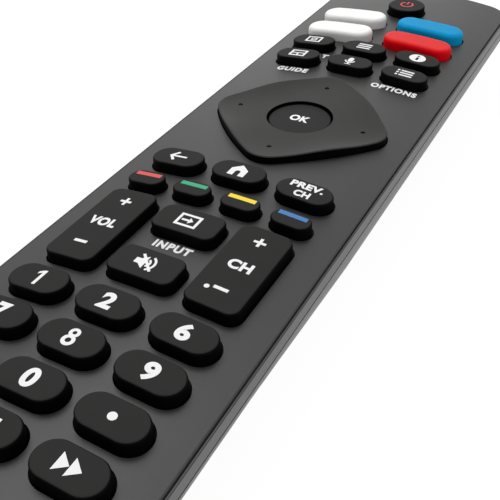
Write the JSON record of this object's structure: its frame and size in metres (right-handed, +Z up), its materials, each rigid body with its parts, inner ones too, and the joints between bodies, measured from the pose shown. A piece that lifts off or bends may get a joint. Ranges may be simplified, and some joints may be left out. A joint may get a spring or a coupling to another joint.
{
  "type": "universal remote control",
  "caption": "Slim hand-held infrared and voice remote control with a crowned face, rocking pad, rubber keys and a sliding battery door.",
  "frame": {"origin": "centre of the flat back, on the surface that the remote lies on", "axes": "+Z up out of the keys, +Y along the remote to its infrared end, +X to the right seen from above"},
  "size_m": [0.0468, 0.202, 0.0216],
  "materials": {
    "face_plastic": "fine spark texture, dark grey",
    "back_plastic": "fine spark texture, dark grey",
    "window_plastic": "smooth, passes infrared",
    "key_rubber": "smooth matt rubber, near black",
    "white_key": "smooth white rubber",
    "blue_key": "smooth blue rubber",
    "red_key": "smooth red rubber",
    "pad_plastic": "satin moulded plastic",
    "ok_plastic": "satin moulded plastic",
    "mat_rubber": "moulded silicone sheet",
    "board": "green solder mask",
    "chip_resin": "moulded resin",
    "can_metal": "drawn can",
    "emitter_resin": "clear tinted resin",
    "cell_jacket": "printed foil jacket, plain bands",
    "spring_steel": "nickel-plated spring steel",
    "screw_steel": "zinc-plated steel"
  },
  "bodies": {
    "housing": {"top_housing": "face_plastic", "bottom_housing": "back_plastic", "infrared_window": "window_plastic", "snap_domes": "spring_steel", "keypad_mat": "mat_rubber", "circuit_board": "board", "control_chip": "chip_resin", "timing_crystal": "can_metal", "capacitor": "can_metal", "infrared_emitter": "emitter_resin", "microphone": "can_metal", "battery_cell_left": "cell_jacket", "battery_cell_right": "cell_jacket", "spring_contacts": "spring_steel", "button_contacts": "spring_steel", "housing_screws": "screw_steel"},
    "door": {"battery_door": "back_plastic"},
    "pad_ring": {"navigation_support_ring": "mat_rubber"},
    "pad": {"navigation_pad": "pad_plastic"},
    "ok": {"ok_key": "ok_plastic"},
    "power_key_body": {"power_key": "key_rubber"},
    "white_upper_shortcut_key_body": {"white_upper_shortcut_key": "white_key"},
    "blue_shortcut_key_body": {"blue_shortcut_key": "blue_key"},
    "white_lower_shortcut_key_body": {"white_lower_shortcut_key": "white_key"},
    "red_shortcut_key_body": {"red_shortcut_key": "red_key"},
    "format_key_body": {"format_key": "key_rubber"},
    "menu_key_body": {"menu_key": "key_rubber"},
    "info_key_body": {"info_key": "key_rubber"},
    "guide_key_body": {"guide_key": "key_rubber"},
    "voice_key_body": {"voice_key": "key_rubber"},
    "options_key_body": {"options_key": "key_rubber"},
    "back_key_body": {"back_key": "key_rubber"},
    "home_key_body": {"home_key": "key_rubber"},
    "previous_key_body": {"previous_key": "key_rubber"},
    "number_key_1_left_body": {"number_key_1_left": "key_rubber"},
    "number_key_1_middle_body": {"number_key_1_middle": "key_rubber"},
    "number_key_1_right_body": {"number_key_1_right": "key_rubber"},
    "number_key_2_left_body": {"number_key_2_left": "key_rubber"},
    "number_key_2_middle_body": {"number_key_2_middle": "key_rubber"},
    "number_key_2_right_body": {"number_key_2_right": "key_rubber"},
    "number_key_3_left_body": {"number_key_3_left": "key_rubber"},
    "number_key_3_middle_body": {"number_key_3_middle": "key_rubber"},
    "number_key_3_right_body": {"number_key_3_right": "key_rubber"},
    "number_key_4_left_body": {"number_key_4_left": "key_rubber"},
    "number_key_4_middle_body": {"number_key_4_middle": "key_rubber"},
    "number_key_4_right_body": {"number_key_4_right": "key_rubber"},
    "red_bar_key_body": {"red_bar_key": "key_rubber"},
    "green_bar_key_body": {"green_bar_key": "key_rubber"},
    "yellow_bar_key_body": {"yellow_bar_key": "key_rubber"},
    "blue_bar_key_body": {"blue_bar_key": "key_rubber"},
    "input_key_body": {"input_key": "key_rubber"},
    "mute_key_body": {"mute_key": "key_rubber"},
    "volume_rocker_body": {"volume_rocker": "key_rubber"},
    "channel_rocker_body": {"channel_rocker": "key_rubber"}
  },
  "joints": [
    {"name": "power_key_press", "type": "slide", "parent": "housing", "child": "power_key_body", "axis": [0, 0, -1], "range_m": [0, 0.0008], "stiffness_N_per_m": 1500},
    {"name": "white_upper_shortcut_key_press", "type": "slide", "parent": "housing", "child": "white_upper_shortcut_key_body", "axis": [0, 0, -1], "range_m": [0, 0.0008], "stiffness_N_per_m": 1500},
    {"name": "blue_shortcut_key_press", "type": "slide", "parent": "housing", "child": "blue_shortcut_key_body", "axis": [0, 0, -1], "range_m": [0, 0.0008], "stiffness_N_per_m": 1500},
    {"name": "white_lower_shortcut_key_press", "type": "slide", "parent": "housing", "child": "white_lower_shortcut_key_body", "axis": [0, 0, -1], "range_m": [0, 0.0008], "stiffness_N_per_m": 1500},
    {"name": "red_shortcut_key_press", "type": "slide", "parent": "housing", "child": "red_shortcut_key_body", "axis": [0, 0, -1], "range_m": [0, 0.0008], "stiffness_N_per_m": 1500},
    {"name": "format_key_press", "type": "slide", "parent": "housing", "child": "format_key_body", "axis": [0, 0, -1], "range_m": [0, 0.0008], "stiffness_N_per_m": 1500},
    {"name": "menu_key_press", "type": "slide", "parent": "housing", "child": "menu_key_body", "axis": [0, 0, -1], "range_m": [0, 0.0008], "stiffness_N_per_m": 1500},
    {"name": "info_key_press", "type": "slide", "parent": "housing", "child": "info_key_body", "axis": [0, 0, -1], "range_m": [0, 0.0008], "stiffness_N_per_m": 1500},
    {"name": "guide_key_press", "type": "slide", "parent": "housing", "child": "guide_key_body", "axis": [0, 0, -1], "range_m": [0, 0.0008], "stiffness_N_per_m": 1500},
    {"name": "voice_key_press", "type": "slide", "parent": "housing", "child": "voice_key_body", "axis": [0, 0, -1], "range_m": [0, 0.0008], "stiffness_N_per_m": 1500},
    {"name": "options_key_press", "type": "slide", "parent": "housing", "child": "options_key_body", "axis": [0, 0, -1], "range_m": [0, 0.0008], "stiffness_N_per_m": 1500},
    {"name": "back_key_press", "type": "slide", "parent": "housing", "child": "back_key_body", "axis": [0, 0, -1], "range_m": [0, 0.0008], "stiffness_N_per_m": 1500},
    {"name": "home_key_press", "type": "slide", "parent": "housing", "child": "home_key_body", "axis": [0, 0, -1], "range_m": [0, 0.0008], "stiffness_N_per_m": 1500},
    {"name": "previous_key_press", "type": "slide", "parent": "housing", "child": "previous_key_body", "axis": [0, 0, -1], "range_m": [0, 0.0008], "stiffness_N_per_m": 1500},
    {"name": "number_key_1_left_press", "type": "slide", "parent": "housing", "child": "number_key_1_left_body", "axis": [0, 0, -1], "range_m": [0, 0.0008], "stiffness_N_per_m": 1500},
    {"name": "number_key_1_middle_press", "type": "slide", "parent": "housing", "child": "number_key_1_middle_body", "axis": [0, 0, -1], "range_m": [0, 0.0008], "stiffness_N_per_m": 1500},
    {"name": "number_key_1_right_press", "type": "slide", "parent": "housing", "child": "number_key_1_right_body", "axis": [0, 0, -1], "range_m": [0, 0.0008], "stiffness_N_per_m": 1500},
    {"name": "number_key_2_left_press", "type": "slide", "parent": "housing", "child": "number_key_2_left_body", "axis": [0, 0, -1], "range_m": [0, 0.0008], "stiffness_N_per_m": 1500},
    {"name": "number_key_2_middle_press", "type": "slide", "parent": "housing", "child": "number_key_2_middle_body", "axis": [0, 0, -1], "range_m": [0, 0.0008], "stiffness_N_per_m": 1500},
    {"name": "number_key_2_right_press", "type": "slide", "parent": "housing", "child": "number_key_2_right_body", "axis": [0, 0, -1], "range_m": [0, 0.0008], "stiffness_N_per_m": 1500},
    {"name": "number_key_3_left_press", "type": "slide", "parent": "housing", "child": "number_key_3_left_body", "axis": [0, 0, -1], "range_m": [0, 0.0008], "stiffness_N_per_m": 1500},
    {"name": "number_key_3_middle_press", "type": "slide", "parent": "housing", "child": "number_key_3_middle_body", "axis": [0, 0, -1], "range_m": [0, 0.0008], "stiffness_N_per_m": 1500},
    {"name": "number_key_3_right_press", "type": "slide", "parent": "housing", "child": "number_key_3_right_body", "axis": [0, 0, -1], "range_m": [0, 0.0008], "stiffness_N_per_m": 1500},
    {"name": "number_key_4_left_press", "type": "slide", "parent": "housing", "child": "number_key_4_left_body", "axis": [0, 0, -1], "range_m": [0, 0.0008], "stiffness_N_per_m": 1500},
    {"name": "number_key_4_middle_press", "type": "slide", "parent": "housing", "child": "number_key_4_middle_body", "axis": [0, 0, -1], "range_m": [0, 0.0008], "stiffness_N_per_m": 1500},
    {"name": "number_key_4_right_press", "type": "slide", "parent": "housing", "child": "number_key_4_right_body", "axis": [0, 0, -1], "range_m": [0, 0.0008], "stiffness_N_per_m": 1500},
    {"name": "red_bar_key_press", "type": "slide", "parent": "housing", "child": "red_bar_key_body", "axis": [0, 0, -1], "range_m": [0, 0.0008], "stiffness_N_per_m": 1500},
    {"name": "green_bar_key_press", "type": "slide", "parent": "housing", "child": "green_bar_key_body", "axis": [0, 0, -1], "range_m": [0, 0.0008], "stiffness_N_per_m": 1500},
    {"name": "yellow_bar_key_press", "type": "slide", "parent": "housing", "child": "yellow_bar_key_body", "axis": [0, 0, -1], "range_m": [0, 0.0008], "stiffness_N_per_m": 1500},
    {"name": "blue_bar_key_press", "type": "slide", "parent": "housing", "child": "blue_bar_key_body", "axis": [0, 0, -1], "range_m": [0, 0.0008], "stiffness_N_per_m": 1500},
    {"name": "input_key_press", "type": "slide", "parent": "housing", "child": "input_key_body", "axis": [0, 0, -1], "range_m": [0, 0.0008], "stiffness_N_per_m": 1500},
    {"name": "mute_key_press", "type": "slide", "parent": "housing", "child": "mute_key_body", "axis": [0, 0, -1], "range_m": [0, 0.0008], "stiffness_N_per_m": 1500},
    {"name": "ok_press", "type": "slide", "parent": "housing", "child": "ok", "axis": [0, 0, -1], "range_m": [0, 0.0008], "stiffness_N_per_m": 1500},
    {"name": "volume_rocker_rock", "type": "hinge", "parent": "housing", "child": "volume_rocker_body", "pos_m": [-0.0127, -0.0292, 0.0156], "axis": [1, 0, 0], "range_deg": [-3.5, 3.5], "stiffness_Nm_per_rad": 0.2},
    {"name": "channel_rocker_rock", "type": "hinge", "parent": "housing", "child": "channel_rocker_body", "pos_m": [0.0127, -0.0292, 0.0156], "axis": [1, 0, 0], "range_deg": [-3.5, 3.5], "stiffness_Nm_per_rad": 0.2},
    {"name": "pad_rock_up_down", "type": "hinge", "parent": "housing", "child": "pad_ring", "pos_m": [0, 0.0185, 0.0153], "axis": [1, 0, 0], "range_deg": [-1.5, 1.5], "stiffness_Nm_per_rad": 0.5},
    {"name": "pad_rock_left_right", "type": "hinge", "parent": "pad_ring", "child": "pad", "pos_m": [0, 0.0185, 0.0153], "axis": [0, 1, 0], "range_deg": [-1.5, 1.5], "stiffness_Nm_per_rad": 0.5},
    {"name": "door_slide", "type": "slide", "parent": "housing", "child": "door", "axis": [0, -1, 0], "range_m": [0, 0.067]}
  ]
}
